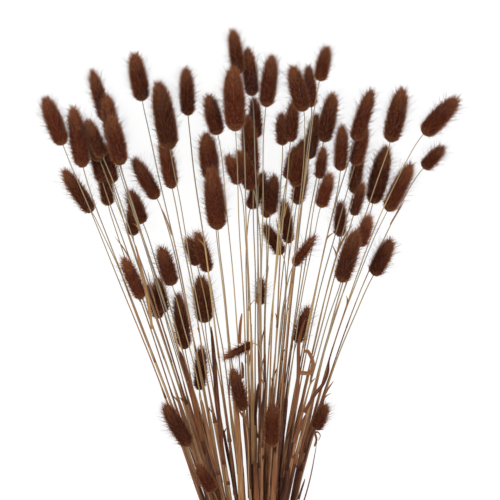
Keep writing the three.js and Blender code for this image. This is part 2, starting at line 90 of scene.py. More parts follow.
# The clumps: the layer of stems, then tip x, tip y, base x, base y and width. The layers are laid
# in turn, and the fifth clump is a head that lies across the upper stems
clumps = [
    (1, (-100, 313, -89, 281, 13), (-92, 319, -85, 286, 13)),
    (1, (-73, 306, -66, 253, 15)),
    (1, (-52, 321, -48, 277, 18)),
    (1, (-51, 257, -53, 216, 13)),
    (7, (-32, 245, -5, 259, 10)),
    (1, (3, 318, 2, 293, 11)),
    (1, (23, 390, 28, 349, 13)),
    (1, (46, 293, 35, 259, 13)),
    (1, (5, 367, 22, 339, 13)),
    (2, (-114, 384, -113, 356, 13), (-117, 398, -104, 367, 15)),
    (2, (-64, 355, -55, 329, 13), (-56, 361, -45, 323, 14)),
    (2, (8, 406, 8, 372, 12), (6, 414, -7, 380, 14), (15, 412, 11, 375, 14)),
    (2, (75, 388, 74, 355, 13)),
    (2, (169, 437, 150, 417, 14)),
    (3, (-140, 419, -135, 383, 14), (-149, 442, -140, 404, 14), (-137, 440, -131, 403, 14)),
    (3, (-177, 417, -150, 377, 15)),
    (3, (42, 424, 35, 384, 14), (34, 437, 26, 407, 12), (41, 444, 33, 400, 15),
     (53, 467, 46, 425, 14), (68, 486, 59, 440, 16)),
    (3, (59, 436, 55, 407, 12)),
    (3, (65, 413, 56, 381, 14)),
    (3, (117, 439, 104, 385, 18)),
    (4, (-4, 482, -1, 444, 13), (-10, 467, -5, 410, 16), (-18, 433, -4, 397, 17),
     (-28, 429, -17, 402, 13)),
    (4, (-113, 427, -91, 389, 15)),
    (4, (-65, 509, -63, 464, 15)),
    (4, (93, 437, 86, 394, 13), (95, 405, 86, 374, 12), (97, 456, 87, 419, 15),
     (103, 489, 87, 441, 15)),
    (4, (140, 423, 117, 378, 16)),
    (4, (-112, 522, -104, 477, 17)),
    (5, (-157, 458, -142, 423, 14), (-154, 461, -139, 426, 14), (-167, 474, -157, 417, 17)),
    (5, (-150, 507, -137, 459, 14), (-136, 484, -130, 437, 15), (-132, 465, -123, 419, 17)),
    (5, (21, 467, 22, 437, 13), (32, 478, 29, 440, 14)),
    (5, (45, 510, 48, 471, 13), (30, 509, 41, 467, 17)),
    (6, (-86, 447, -77, 398, 15), (-90, 497, -79, 433, 20)),
    (6, (-47, 450, -42, 406, 18), (-42, 419, -36, 361, 19)),
    (6, (-10, 526, -5, 481, 15)),
    (6, (-23, 542, -17, 500, 14)),
    (6, (-45, 483, -36, 446, 16)),
    (6, (-192, 482, -175, 437, 17)),
    (6, (52, 357, 32, 329, 11)),
    (6, (62, 526, 55, 494, 14)),
    (6, (76, 457, 74, 414, 14)),
    (6, (131, 491, 119, 440, 18)),
    (7, (-23, 509, -20, 449, 20)),
    (7, (13, 519, 7, 471, 16)),
    (7, (181, 481, 149, 447, 18)),
    (7, (-122, 338, -104, 299, 14)),
    (7, (100, 375, 91, 346, 14), (89, 363, 74, 314, 17)),
    (7, (121, 354, 104, 320, 16)),
    (7, (-88, 347, -77, 311, 16)),
    (7, (-23, 238, -13, 199, 14)),
    (7, (13, 208, 12, 166, 15)),
    (7, (62, 205, 52, 181, 13)),
    (7, (-85, 206, -62, 167, 16)),
    (7, (-55, 151, -40, 126, 14)),
]
layerCount = 7

drawn = ("sheathEnd", "cutEnd", "blade", "bladeSide", "bladeSpread", "bladeLength", "bladeHalfWidth",
         "bladeLift", "shade", "girth")
hashFactors = (12.9898, 78.233, 43758.5453)


def drawShare(stalk, what):  # a steady draw between 0 and 1: the fraction left of a fast sine
    perStalk, perDraw, spread = hashFactors
    wave = np.sin(stalk.number * perStalk + (drawn.index(what) + 1) * perDraw) * spread
    return wave - np.floor(wave)


def drawFrom(stalk, what):  # a value from one of the bunch's ranges
    return mix(*bunch[what], drawShare(stalk, what))


def bezier(a, b, c, d, t):
    s = 1 - t
    return s ** 3 * a + 3 * s * s * t * b + 3 * s * t * t * c + t ** 3 * d


def makeStalks():
    # The stalks stand in rows at the tie, one for each layer, in the order of their heads
    stalks = []
    for clump, (layer, *heads) in enumerate(clumps):
        for tipX, tipY, baseX, baseY, width in heads:
            stalk = SimpleNamespace(number=len(stalks), clump=clump, layer=layer, radius=width / 2)
            stalk.base = np.array([baseX, baseY], float)
            along = np.array([tipX - baseX, tipY - baseY], float)
            stalk.headLength = np.linalg.norm(along)
            stalk.heading = along / stalk.headLength
            stalk.sheathEnd = drawFrom(stalk, "sheathEnd")
            stalks.append(stalk)
    short, tall = bunch["bowLengths"]
    for layer in range(1, layerCount + 1):
        row = sorted((s for s in stalks if s.layer == layer), key=lambda s: s.base[0] / s.base[1])
        stagger = 0 if layer % 2 else bunch["columnPitch"] / 2
        z = bunch["tieThickness"] + bunch["sheathHalfThickness"] + (layer - 1) * bunch["rowPitch"]
        for column, stalk in enumerate(row):
            x = (column - (len(row) - 1) / 2) * bunch["columnPitch"] + stagger
            stalk.foot = np.array([x, 0, z])
            knee = stalk.base - stalk.heading * stalk.radius * 2 * bunch["neckPerWidth"]
            lowKnee = mix(stalk.foot[:2], knee, bunch["kneeShare"])
            bow = bunch["bow"][int(knee[0] > 0)]
            lowKnee[0] *= 1 - np.clip((stalk.base[1] - short) / (tall - short), 0, 1) * bow
            stalk.corners = (stalk.foot[:2], lowKnee, knee, stalk.base)
    return stalks


def plan(stalk, t):  # a stem seen from above, at shares t
    return bezier(*stalk.corners, np.atleast_1d(t)[:, None])


def stemHeight(stalk, t):
    return bezier(stalk.foot[2], stalk.steer, stalk.height, stalk.height, t)


def stemSection(stalk, t):  # half width and half thickness at shares t
    inSheath = t <= stalk.sheathEnd
    opening = np.minimum(1, t / bunch["footShare"])
    wide = mix(bunch["footHalfWidth"], bunch["sheathHalfWidth"], opening)
    return (np.where(inSheath, wide, bunch["stemRadius"]),
            np.where(inSheath, bunch["sheathHalfThickness"], bunch["stemRadius"]))


def headRadius(stalk, s):  # a round base, a long belly and a narrower tip, at shares s
    rise = np.minimum(1, s / bunch["swellShare"])
    fall = np.maximum(0, (s - bunch["swellShare"]) / (1 - bunch["swellShare"]))
    narrowing = 1 - bunch["tipNarrowing"] * fall ** bunch["tipCurve"]
    return stalk.radius * np.sqrt(1 - (1 - rise) ** 2) * narrowing


# What is laid: rows of x, y, z of both ends, half width, half thickness, clump, layer and part
laid = []
clumpAt, layerAt, partAt, rowLength = 8, 9, 10, 11
partOf = {"head": 0, "stem": 1, "blade": 2}


def lay(stalk, points, halfWidth, halfThickness, part):
    owner = np.tile([stalk.clump, stalk.layer, partOf[part]], (len(points) - 1, 1))
    laid.append(np.hstack([points[:-1], points[1:], halfWidth[:, None], halfThickness[:, None], owner]))


def isPart(rows, part):
    return rows[:, partAt] == partOf[part]


def headsAndOtherLayers(stalk):  # what a stem or a leaf lies over
    return lambda rows: isPart(rows, "head") | (rows[:, layerAt] != stalk.layer)


def heightOver(points, halfWidth, halfThickness, isUnder, fit):
    # What lies under a point lifts it to its own height + need * sqrt(1 - share * share), where
    # share is how far aside it lies, over both half widths, and need is both half thicknesses
    isHead = halfThickness > bunch["stemRadius"] * 2
    onTable = halfThickness - np.where(isHead, bunch["settle"], 0)
    lowest = onTable if fit["onTable"] else np.full(len(points), -np.inf)
    rows = np.concatenate(laid) if laid else np.zeros((0, rowLength))
    rows = rows[isUnder(rows)]
    if not len(rows):
        return lowest
    start, end, wide, thick = rows[:, :3], rows[:, 3:6], rows[:, 6], rows[:, 7]
    span = end[:, :2] - start[:, :2]
    offset = points[:, None] - start[:, :2]
    t = np.clip((offset * span).sum(2) / (span ** 2).sum(1), 0, 1)
    away = np.linalg.norm(offset - t[..., None] * span, axis=2)
    share = away / ((halfWidth[:, None] + wide) * fit["width"] + fit["side"])
    need = (halfThickness[:, None] + thick) * fit["depth"] + fit["air"]
    over = mix(start[:, 2], end[:, 2], t) + need * np.sqrt(np.clip(1 - share ** 2, 0, 1))
    return np.maximum(lowest, np.where(share < 1, over, -np.inf).max(1))


def headPoints(stalk):  # along the middle of a head, seen from above
    return stalk.base + stalk.heading * (headTests * stalk.headLength)[:, None]


def headHeight(stalk, isUnder, fit):
    radius = headRadius(stalk, headTests)
    return heightOver(headPoints(stalk), radius, radius, isUnder, fit).max()


def layStalk(stalk):
    t = np.linspace(0, 1, bunch["laidSteps"] + 1)
    middle = np.column_stack([plan(stalk, t), stemHeight(stalk, t)])
    lay(stalk, middle, *stemSection(stalk, t[:-1]), "stem")
    radius = headRadius(stalk, headTests)
    radius = np.maximum(radius[:-1], radius[1:])
    level = np.full(len(headTests), stalk.height)
    lay(stalk, np.column_stack([headPoints(stalk), level]), radius, radius, "head")


def steerFor(stalk, shares, height):  # how far up a stem is steered, to clear what lies under it
    steer = mix(stalk.foot[2], height, bunch["steerShare"])
    rest = bezier(stalk.foot[2], 0, height, height, shares)
    return max(steer, ((stalk.floor - rest) / bezier(0, 1, 0, 0, shares)).max())


def layBlade(stalk):  # an arched leaf at the top of the sheath, or none
    stalk.blade = None
    if drawShare(stalk, "blade") > bunch["bladeShare"]:
        return
    rootShare = stalk.sheathEnd - bunch["bladeInset"]
    start, ahead = plan(stalk, [rootShare, rootShare + 2 * bunch["bladeInset"]])
    bearing = np.arctan2(ahead[1] - start[1], ahead[0] - start[0])
    side = -1 if drawShare(stalk, "bladeSide") < 0.5 else 1
    share = np.linspace(0, 1, bunch["bladeSteps"] + 1)
    turned = bearing + side * drawFrom(stalk, "bladeSpread") * mix(*bunch["bladeTurn"], share[:-1])
    steps = np.column_stack([np.cos(turned), np.sin(turned)])
    steps = steps * drawFrom(stalk, "bladeLength") / bunch["bladeSteps"]
    points = start + np.vstack([[0, 0], np.cumsum(steps, axis=0)])
    halfWidth = drawFrom(stalk, "bladeHalfWidth") * np.sqrt(bunch["bladeTaper"] - share ** 3)
    halfWidth[0] *= bunch["bladeRoot"]
    thin = np.full(len(share), bunch["bladeHalfThickness"])
    lift = drawFrom(stalk, "bladeLift") * np.sin(share * bunch["bladeBend"])
    free = stemHeight(stalk, rootShare) + lift
    z = np.maximum(free, heightOver(points, halfWidth, thin, headsAndOtherLayers(stalk), overOthers))
    z[0] = free[0]
    if (z - free).max() < bunch["bladeClimb"]:
        stalk.blade = (np.column_stack([points, z]), halfWidth)
        lay(stalk, stalk.blade[0], np.maximum(halfWidth[:-1], halfWidth[1:]), thin[1:], "blade")


def layClump(members):
    # Its heads are laid on each other first, and then the whole clump goes where it lies lowest
    # with the least arch in its stems
    mark = len(laid)
    clump = members[0].clump
    ownHeads = lambda rows: (rows[:, clumpAt] == clump) & isPart(rows, "head")
    ownStems = lambda rows: (rows[:, clumpAt] == clump) & isPart(rows, "stem")
    others = lambda rows: rows[:, clumpAt] != clump
    thin = np.full(len(neckTests), bunch["stemRadius"])
    ground = 0
    for stalk in members:
        neck = heightOver(plan(stalk, neckTests), thin, thin, ownHeads, besideNeighbour).max()
        stalk.offset = max(0, headHeight(stalk, ownHeads, pressedTogether),
                           headHeight(stalk, ownStems, besideNeighbour), neck)
        ground = max(ground, headHeight(stalk, others, overOthers) - stalk.offset)
        stalk.height = stalk.steer = stalk.offset
        layStalk(stalk)
    del laid[mark:]
    shares = np.arange(1, bunch["testSteps"]) / bunch["testSteps"]
    for stalk in members:
        stalk.floor = heightOver(plan(stalk, shares), *stemSection(stalk, shares),
                                 headsAndOtherLayers(stalk), overOthers)
    best = None
    for lift in np.arange(bunch["liftTries"]) * bunch["liftStep"]:
        heights = [ground + lift + stalk.offset for stalk in members]
        steers = [steerFor(stalk, shares, height) for stalk, height in zip(members, heights)]
        arch = max(max(0, steer - height) for steer, height in zip(steers, heights))
        cost = ground + lift + bunch["archCost"] * arch
        if best is None or cost < best[0]:
            best = (cost, heights, steers)
    for stalk, height, steer in zip(members, *best[1:]):
        stalk.height, stalk.steer = height, steer
        layStalk(stalk)
    for stalk in members:
        layBlade(stalk)


stalks = makeStalks()
for clump in sorted(range(len(clumps)), key=lambda order: clumps[order][0]):
    layClump([stalk for stalk in stalks if stalk.clump == clump])

# The solids' origin is under the middle of the bunch: the tie's own solid says how far that is
feet = np.array([stalk.foot[0] for stalk in stalks])
tieLow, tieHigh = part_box("twine_tie")
bandEdge = bunch["tiePlace"] + bunch["twineTurns"] / 2 * bunch["twinePitch"]
tieOrigin = np.array([
    (tieLow.x + tieHigh.x) / 2 - (feet.min() + feet.max()) / 2 * millimetre,
    tieHigh.y - bandEdge * millimetre,
    0,
])
print("stalks laid:", len(stalks), "with", sum(s.blade is not None for s in stalks), "blades")


# Materials
noiseRange = {"From Min": 0.3, "From Max": 0.7}  # most of a noise's values lie between these


def linearColour(text):  # an sRGB hex value as linear colour
    parts = [int(text[i:i + 2], 16) / 255 for i in (1, 3, 5)]
    return tuple(p / 12.92 if p <= 0.04045 else ((p + 0.055) / 1.055) ** 2.4 for p in parts) + (1,)


def addNode(tree, kind, inputs=None, output=0, **settings):
    # Adds a node with its settings and links, and gives the socket that its result leaves by
    node = tree.nodes.new("ShaderNode" + kind)
    for name, value in settings.items():
        setattr(node, name, value)
    for name, value in (inputs or {}).items():
        if isinstance(value, bpy.types.NodeSocket):
            tree.links.new(value, node.inputs[name])
        else:
            node.inputs[name].default_value = value
    return node.outputs[output] if node.outputs else None


def colourRamp(tree, factor, stops):
    ramp = addNode(tree, "ValToRGB", {"Fac": factor})
    elements = ramp.node.color_ramp.elements
    while len(elements) < len(stops):
        elements.new(0.5)
    for element, (place, colour) in zip(elements, stops):
        element.position = place
        element.color = linearColour(colour)
    return ramp


def newMaterial(name):
    material = bpy.data.materials.new(name)
    material.use_nodes = True
    tree = material.node_tree
    tree.nodes.clear()
    return material, tree


def finishMaterial(tree, colour, bump=None, **values):
    inputs = {"Base Color": colour, **{key.replace("_", " "): value for key, value in values.items()}}
    if bump is not None:
        inputs["Normal"] = bump
    addNode(tree, "OutputMaterial", {"Surface": addNode(tree, "BsdfPrincipled", inputs)})


def attribute(tree, name):
    return addNode(tree, "Attribute", output="Fac", attribute_name=name)


fur = {
    "along": ((0, "#34180f"), (0.4, "#572c19"), (0.7, "#8c5336"), (1, "#cc8c5c")),  # root to point
    "headTip": "#ae7048", "headTipShare": 0.5, "tipFrom": 0.5,  # heads are paler at their tips
    "headBase": "#c89468", "headBaseShare": 0.8, "baseTo": 0.12,  # and round their bases' edges
    "reddish": "#843a20", "reddishShare": 0.22, "headShades": (0.85, 1.15),
    "lowHeadPaintedShade": 0.66, "paintedShadeHeadsMm": (232, 255),  # painted shade: the heads nearest to the tie are darkened
    "tuftMm": 2.0, "tuftContrast": 0.35, "shades": (0.6, 1.5),
    "sheen": 1.0, "sheenRoughness": 0.35, "sheenTint": "#d08850", "roughness": 0.9, "specular": 0.1,
    "awn": ((0, "#5a3422"), (0.4, "#6e4c42"), (0.7, "#6e647c"), (1, "#6c6a92")),
    "awnRoughness": 0.6, "awnSpecular": 0.3,
}


def makeFurMaterial():
    # Dry grass bristles, soft as velvet: no gloss, dark at their roots and paler where they thin out
    material, tree = newMaterial("dried seed head bristle")
    along = attribute(tree, "along")
    place = attribute(tree, "place")
    red = addNode(tree, "Math", {0: attribute(tree, "tone"), 1: fur["reddishShare"]},
                  operation="MULTIPLY")
    nearTip = addNode(tree, "MapRange", {"Value": place, "From Min": fur["tipFrom"],
                                         "To Max": fur["headTipShare"]})
    nearBase = addNode(tree, "MapRange", {"Value": place, "From Min": fur["baseTo"], "From Max": 0.0,
                                          "To Max": fur["headBaseShare"]})
    outer = addNode(tree, "Math", {0: nearBase, 1: along}, operation="MULTIPLY")
    colour = colourRamp(tree, along, fur["along"])
    for share, tint in ((red, "reddish"), (nearTip, "headTip"), (outer, "headBase")):
        colour = addNode(tree, "Mix", {0: share, 6: colour, 7: linearColour(fur[tint])}, output=2,
                         data_type="RGBA")  # its colours go in at 6 and 7 and come out at 2
    where = addNode(tree, "TexCoord", output="Object")
    tufts = addNode(tree, "TexNoise", {"Vector": where, "Scale": 1 / (fur["tuftMm"] * millimetre),
                                       "Detail": 2})
    contrast = addNode(tree, "MapRange", {"Value": tufts, **noiseRange,
                                          "To Min": 1 - fur["tuftContrast"],
                                          "To Max": 1 + fur["tuftContrast"]})
    shade = addNode(tree, "Math", {0: contrast, 1: attribute(tree, "shade")}, operation="MULTIPLY")
    shaded = addNode(tree, "HueSaturation", {"Value": shade, "Color": colour})
    finishMaterial(tree, shaded, Roughness=fur["roughness"], Sheen_Weight=fur["sheen"],
                   Sheen_Roughness=fur["sheenRoughness"], Sheen_Tint=linearColour(fur["sheenTint"]),
                   Specular_IOR_Level=fur["specular"])
    return material


def makeAwnMaterial():
    # Long fine awns: brown where they leave the head, and greyer where they are finest
    material, tree = newMaterial("dried awn")
    finishMaterial(tree, colourRamp(tree, attribute(tree, "along"), fur["awn"]),
                   Roughness=fur["awnRoughness"], Specular_IOR_Level=fur["awnSpecular"])
    return material


straw = {  # each kind's colours from pale to dark, and its roughness
    "stem": (((0, "#8c8072"), (0.3, "#ac9264"), (0.65, "#8e6a46"), (1, "#603e26")), 0.5),
    "sheath": (((0, "#c6ab7c"), (0.3, "#ac885e"), (0.55, "#8c5e40"), (0.78, "#76462e"),
                (1, "#402014")), 0.6),
    "blade": (((0, "#ac8658"), (0.35, "#8c5c3a"), (0.7, "#76442a"), (1, "#442212")), 0.65),
    "jute": (((0, "#c9ae80"), (0.4, "#b2945f"), (0.75, "#94754a"), (1, "#6d5233")), 0.85),
    "streakMm": 0.45, "streakLengthMm": 16, "streakContrast": 0.32,
    "ribDepthMm": 0.06, "ribStrength": 0.6, "specular": 0.22,
}


def makeStrawMaterial(name, kind):
    # Dried plant fibre with fine ribs and streaks along its length: a stem is smooth and a little
    # waxy, sheaths and leaves are duller, and spun jute is rough and matt
    stops, roughness = straw[kind]
    material, tree = newMaterial(name)
    around = addNode(tree, "Math", {0: attribute(tree, "around"), 1: 1 / straw["streakMm"]},
                     operation="MULTIPLY")
    lengthwise = addNode(tree, "Math", {0: attribute(tree, "lengthwise"),
                                        1: 1 / straw["streakLengthMm"]}, operation="MULTIPLY")
    where = addNode(tree, "CombineXYZ", {"X": around, "Y": lengthwise, "Z": attribute(tree, "seed")})
    streaks = addNode(tree, "TexNoise", {"Vector": where, "Scale": 1.0, "Detail": 3})
    contrast = addNode(tree, "MapRange", {"Value": streaks, **noiseRange,
                                          "To Min": -straw["streakContrast"],
                                          "To Max": straw["streakContrast"]})
    tone = addNode(tree, "Math", {0: attribute(tree, "tone"), 1: contrast}, operation="ADD")
    bump = addNode(tree, "Bump", {"Height": streaks, "Strength": straw["ribStrength"],
                                  "Distance": straw["ribDepthMm"] * millimetre})
    finishMaterial(tree, colourRamp(tree, tone, stops), bump, Roughness=roughness,
                   Specular_IOR_Level=straw["specular"])
    return material


furMaterial = makeFurMaterial()
awnMaterial = makeAwnMaterial()
stemMaterial = makeStrawMaterial("dried grass stem", "stem")
sheathMaterial = makeStrawMaterial("dried leaf sheath", "sheath")
bladeMaterial = makeStrawMaterial("dried leaf blade", "blade")
twineMaterial = makeStrawMaterial("jute twine", "jute")
print("materials made")


# Meshes: a part holds corners in millimetres from the tie, its faces, the material that they take
# and the values that the material reads, and a piece is made of many parts

def pathFrame(centre, facing, endless=False):
    # Across and over a path at each of its points; an endless path's last point meets its first
    if endless:
        along = unit(np.roll(centre, -1, axis=-2) - np.roll(centre, 1, axis=-2))
    else:
        along = unit(np.gradient(centre, axis=-2))
    across = unit(np.cross(facing, along))
    return across, np.cross(along, across)


def gridFaces(shape, endless=False):
    # Quads of k grids of n rings with m corners, and a cap on each end
    paths, rings, sides = shape
    index = np.arange(paths * rings * sides).reshape(shape)
    after = np.roll(index, -1, axis=1)
    low, high = (index, after) if endless else (index[:, :-1], after[:, :-1])
    quads = np.stack([low, np.roll(low, -1, axis=2), np.roll(high, -1, axis=2), high], axis=-1)
    faces = [quads.reshape(-1, 4)]
    if not endless:
        faces += [index[:, 0, ::-1], index[:, -1]]
    return faces


def ring(sides):  # a round section
    angle = np.arange(sides) / sides * fullTurn
    return np.cos(angle), np.sin(angle)


def sweep(centre, halfWidth, halfThickness, section, material, values, lowest=-np.inf, facing=up,
          endless=False):
    # A section carried along one path, or k paths of n points: centre + across * x + over * y
    if centre.ndim == 2:
        centre, halfWidth, halfThickness = centre[None], halfWidth[None], halfThickness[None]
    across, over = pathFrame(centre, facing, endless)
    x = halfWidth[..., None] * section[0]
    y = halfThickness[..., None] * section[1]
    corners = centre[:, :, None] + across[:, :, None] * x[..., None] + over[:, :, None] * y[..., None]
    corners[..., 2] = np.maximum(corners[..., 2], lowest)
    return {"corners": corners, "faces": gridFaces(corners.shape[:3], endless),
            "material": material, "values": values}


def addObject(name, data):
    thing = bpy.data.objects.new(name, data)
    bpy.context.scene.collection.objects.link(thing)
    return thing


def makePiece(name, parts, materials, nodes):
    corners = np.concatenate([part["corners"].reshape(-1, 3) for part in parts])
    corners = corners * millimetre + tieOrigin
    starts = np.cumsum([0] + [part["corners"].size // 3 for part in parts])
    loops, sizes, slots = [], [], []
    for part, start in zip(parts, starts):
        for faces in part["faces"]:
            loops.append((faces + start).ravel())
            sizes.append(np.full(len(faces), faces.shape[1]))
            slots.append(np.full(len(faces), materials.index(part["material"])))
    loops, sizes, slots = (np.concatenate(rows).astype(np.int32) for rows in (loops, sizes, slots))
    mesh = bpy.data.meshes.new(name)
    mesh.vertices.add(len(corners))
    mesh.vertices.foreach_set("co", corners.astype(np.float32).ravel())
    mesh.loops.add(len(loops))
    mesh.loops.foreach_set("vertex_index", loops)
    mesh.polygons.add(len(sizes))
    mesh.polygons.foreach_set("loop_start", (np.cumsum(sizes) - sizes).astype(np.int32))
    mesh.polygons.foreach_set("material_index", slots)
    mesh.polygons.foreach_set("use_smooth", np.ones(len(sizes), bool))
    for key in parts[0]["values"]:
        values = [np.broadcast_to(part["values"][key], part["corners"].shape[:-1]).ravel()
                  for part in parts]
        values = np.concatenate(values).astype(np.float32)
        mesh.attributes.new(key, "FLOAT", "POINT").data.foreach_set("value", values)
    mesh.update(calc_edges=True)
    for material in materials:
        mesh.materials.append(material)
    if any("normals" in part for part in parts):  # where there are none, a part keeps its own
        normals = [np.broadcast_to(part.get("normals", 0.0), part["corners"].shape).reshape(-1, 3)
                   for part in parts]
        mesh.normals_split_custom_set_from_vertices(np.concatenate(normals))
    piece = addObject(name, mesh)
    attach(piece, "root")
    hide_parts(*nodes)
    return int((sizes - 2).sum())


# Seed heads
head = {
    "girth": 1.03, "fullness": 2.15,  # stouter and blunter at the base than the solid, as fur is
    "furDepth": 2.3, "furAtBase": 0.5, "furFullAt": 0.2,  # millimetres of fur, and less at the base
    "cap": (0.7, 0.935),     # where the core starts to round off at the tip, and its end
    "ends": (0.002, 0.001),  # how near the core and its bristles come to its base and its end
    "coreRings": 18, "coreSides": 16, "coreAlong": 0.2, "coreLowest": 0.05, "onTable": (0.05, 0.4),
    "turnJitter": 0.2, "placeJitter": 0.01, "sink": 0.5, "thickness": (0.7, 1.3),
    "bendAhead": 0.8, "bendSpread": 0.45, "toneSpread": 0.12, "slopeStep": 0.01, "steepest": 2,
    "tuftTurns": (5, 3), "tuftWaves": (31, 47), "tuftLean": 0.2, "tuftLength": 0.08, "tuftTone": 0.2,
    "places": (0, 0.12, 0.35, 0.75, 0.935),  # along a head, for lean in radians and length
    "fur": {"perSquare": 1.38, "halfWidth": 0.25, "rings": 1, "bend": 0.1, "taper": 1, "velvet": True,
            "lean": (1.5, 1.25, 0.95, 0.75, 0.45), "length": (2.3, 3.3, 4.2, 4.6, 5.2),
            "leanSpread": 0.2, "lengthSpread": 0.32, "ruffle": 0.12},
    "awn": {"perSquare": 0.21, "halfWidth": 0.09, "rings": 2, "bend": 0.12, "taper": 0.35,
            "velvet": False, "lean": (1.3, 1.2, 0.95, 0.8, 0.5),
            "length": (3.5, 7.5, 12.0, 12.5, 9.0),
            "leanSpread": 0.22, "lengthSpread": 0.35, "ruffle": 0.1},
}


def coreRadius(stalk, s):
    # The head's outline less the fur's depth, blunt at the base and rounded off over the cap
    rise = np.minimum(1, s / bunch["swellShare"])
    fuller = ((1 - (1 - rise) ** head["fullness"]) ** (1 / head["fullness"])
              / np.sqrt(np.maximum(1e-6, 1 - (1 - rise) ** 2)))
    furShare = np.clip(s / head["furFullAt"], head["furAtBase"], 1)
    thinner = head["girth"] * (1 - head["furDepth"] / stalk.radius * furShare)
    start, end = head["cap"]
    cap = np.sqrt(1 - np.clip((s - start) / (end - start), 0, 1) ** 2)
    return headRadius(stalk, s) * fuller * thinner * cap


def bristles(root, direction, sag, length, halfWidth, rings, taper=0.6):
    # Three-sided closed spikes: root + direction * length * u + sag * u * u, thinner towards u = 1
    count = len(root)
    helper = np.where(np.abs(direction[:, 2:]) < 0.9, up, [1.0, 0.0, 0.0])
    side = unit(np.cross(direction, helper))
    other = np.cross(direction, side)
    u = np.arange(rings) / rings
    centre = (root[:, None] + (direction * length[:, None])[:, None] * u[:, None]
              + sag[:, None] * (u ** 2)[:, None])
    cos, sin = ring(3)
    spread = side[:, None] * cos[:, None] + other[:, None] * sin[:, None]
    width = halfWidth[:, None] * (1 - u) ** taper
    body = centre[:, :, None] + width[:, :, None, None] * spread[:, None]
    tip = root + direction * length[:, None] + sag
    corners = np.concatenate([body.reshape(count, -1, 3), tip[:, None]], axis=1)
    stride = rings * 3 + 1
    first = (np.arange(count) * stride)[:, None]
    three = np.arange(3)
    turned = np.roll(three, -1)
    faces = [first + three[::-1]]
    for order in range(rings - 1):
        for a, b in zip(three, turned):
            faces.append(first + order * 3 + np.array([a, b, b + 3, a + 3]))
    last = (rings - 1) * 3
    for a, b in zip(three, turned):
        faces.append(first + np.array([last + a, last + b, stride - 1]))
    share = np.append(np.repeat(u, 3), 1.0)
    return corners, faces, np.broadcast_to(share, corners.shape[:2])


def headAxis(stalk):
    along = np.array([*stalk.heading, 0.0])
    return np.array([*stalk.base, stalk.height]), along, np.cross(up, along)


def isInside(stalk, points):  # inside another head's core
    base, along, _ = headAxis(stalk)
    offset = points - base
    s = offset @ along / stalk.headLength
    away = np.linalg.norm(offset - np.outer(offset @ along, along), axis=1)
    return (s > 0) & (s < head["cap"][1]) & (away < coreRadius(stalk, np.clip(s, 0, 1)))


def scatter(stalk, perSquare, generator):
    # A spiral of roots, as many on each square millimetre, each moved a little
    first, last = head["ends"]
    s = np.linspace(first, head["cap"][1], 500)
    radius = coreRadius(stalk, s)
    slant = np.hypot(np.diff(s) * stalk.headLength, np.diff(radius))
    total = np.concatenate([[0], np.cumsum(np.pi * (radius[1:] + radius[:-1]) * slant)])
    count = int(total[-1] * perSquare)
    order = np.arange(count) + 0.5
    place = np.interp(order / count * total[-1], total, s)
    angle = order * np.pi * (3 - np.sqrt(5))  # each by the golden angle from the last
    angle = angle + generator.normal(0, head["turnJitter"], count)
    place = place + generator.normal(0, head["placeJitter"], count)
    return np.clip(place, first + last, head["cap"][1] - last), angle


def pressOnTable(corners, generator):  # bristles that would go into the table lie on it
    lowest = generator.uniform(*head["onTable"], corners.shape[:1])[:, None]
    corners[..., 2] = np.maximum(corners[..., 2], lowest)
    return corners


def tuftPattern(stalk, place, angle):  # two crossing waves, along which bristles stand alike
    turns, waves = head["tuftTurns"], head["tuftWaves"]
    return (np.sin(angle * turns[0] + place * waves[0] + stalk.number)
            * np.sin(angle * turns[1] - place * waves[1]))


def growBristles(stalk, kind, material, neighbours, tone, generator):
    # Roots on the core; each direction leans from the head's axis, less and less towards the tip
    values = head[kind]
    base, along, side = headAxis(stalk)
    place, angle = scatter(stalk, values["perSquare"], generator)
    radial = side * np.cos(angle)[:, None] + up * np.sin(angle)[:, None]
    root = base + along * (place * stalk.headLength)[:, None]
    root = root + radial * coreRadius(stalk, place)[:, None]
    keep = np.ones(len(root), bool)
    for other in neighbours:
        keep &= ~isInside(other, root)
    place, angle, radial, root = place[keep], angle[keep], radial[keep], root[keep]
    count = len(root)
    tuft = tuftPattern(stalk, place, angle)
    lean = np.interp(place, head["places"], values["lean"]) + head["tuftLean"] * tuft
    lean += generator.normal(0, values["leanSpread"], count)
    direction = along * np.cos(lean)[:, None] + radial * np.sin(lean)[:, None]
    direction = unit(direction + generator.normal(0, values["ruffle"], (count, 3)))
    length = np.interp(place, head["places"], values["length"]) * (1 + head["tuftLength"] * tuft)
    reach = 1 + generator.uniform(-1, 1, count) * values["lengthSpread"]
    length *= reach
    thick = values["halfWidth"] * generator.uniform(*head["thickness"], count)
    bend = along * head["bendAhead"] + generator.normal(0, head["bendSpread"], (count, 3))
    sag = bend * (length * values["bend"])[:, None]
    root = root - direction * head["sink"]
    corners, faces, share = bristles(root, direction, sag, length, thick, values["rings"],
                                     values["taper"])
    share = share * (reach / (1 + values["lengthSpread"]))[:, None]
    tone = tone + head["tuftTone"] * tuft + generator.normal(0, head["toneSpread"], count)
    shade = generator.uniform(*fur["shades"], count)
    shade *= mix(*fur["headShades"], drawShare(stalk, "shade"))
    # painted shade: the heads nearest to the tie are darkened, fading out over this span of millimetres
    shade *= np.interp(stalk.base[1], fur["paintedShadeHeadsMm"], (fur["lowHeadPaintedShade"], 1))
    shape = {"corners": pressOnTable(corners, generator), "faces": faces, "material": material,
             "values": {"along": share, "place": place[:, None],
                        "tone": np.clip(tone, 0, 1)[:, None], "shade": shade[:, None]}}
    if values["velvet"]:  # lit as the head's surface, which gives the fur its soft pale rim
        step = head["slopeStep"]
        slope = (coreRadius(stalk, place + step) - coreRadius(stalk, place - step)) / (2 * step)
        slope = np.clip(slope / stalk.headLength, -head["steepest"], head["steepest"])
        shape["normals"] = unit(radial - along * slope[:, None])[:, None]
    return shape


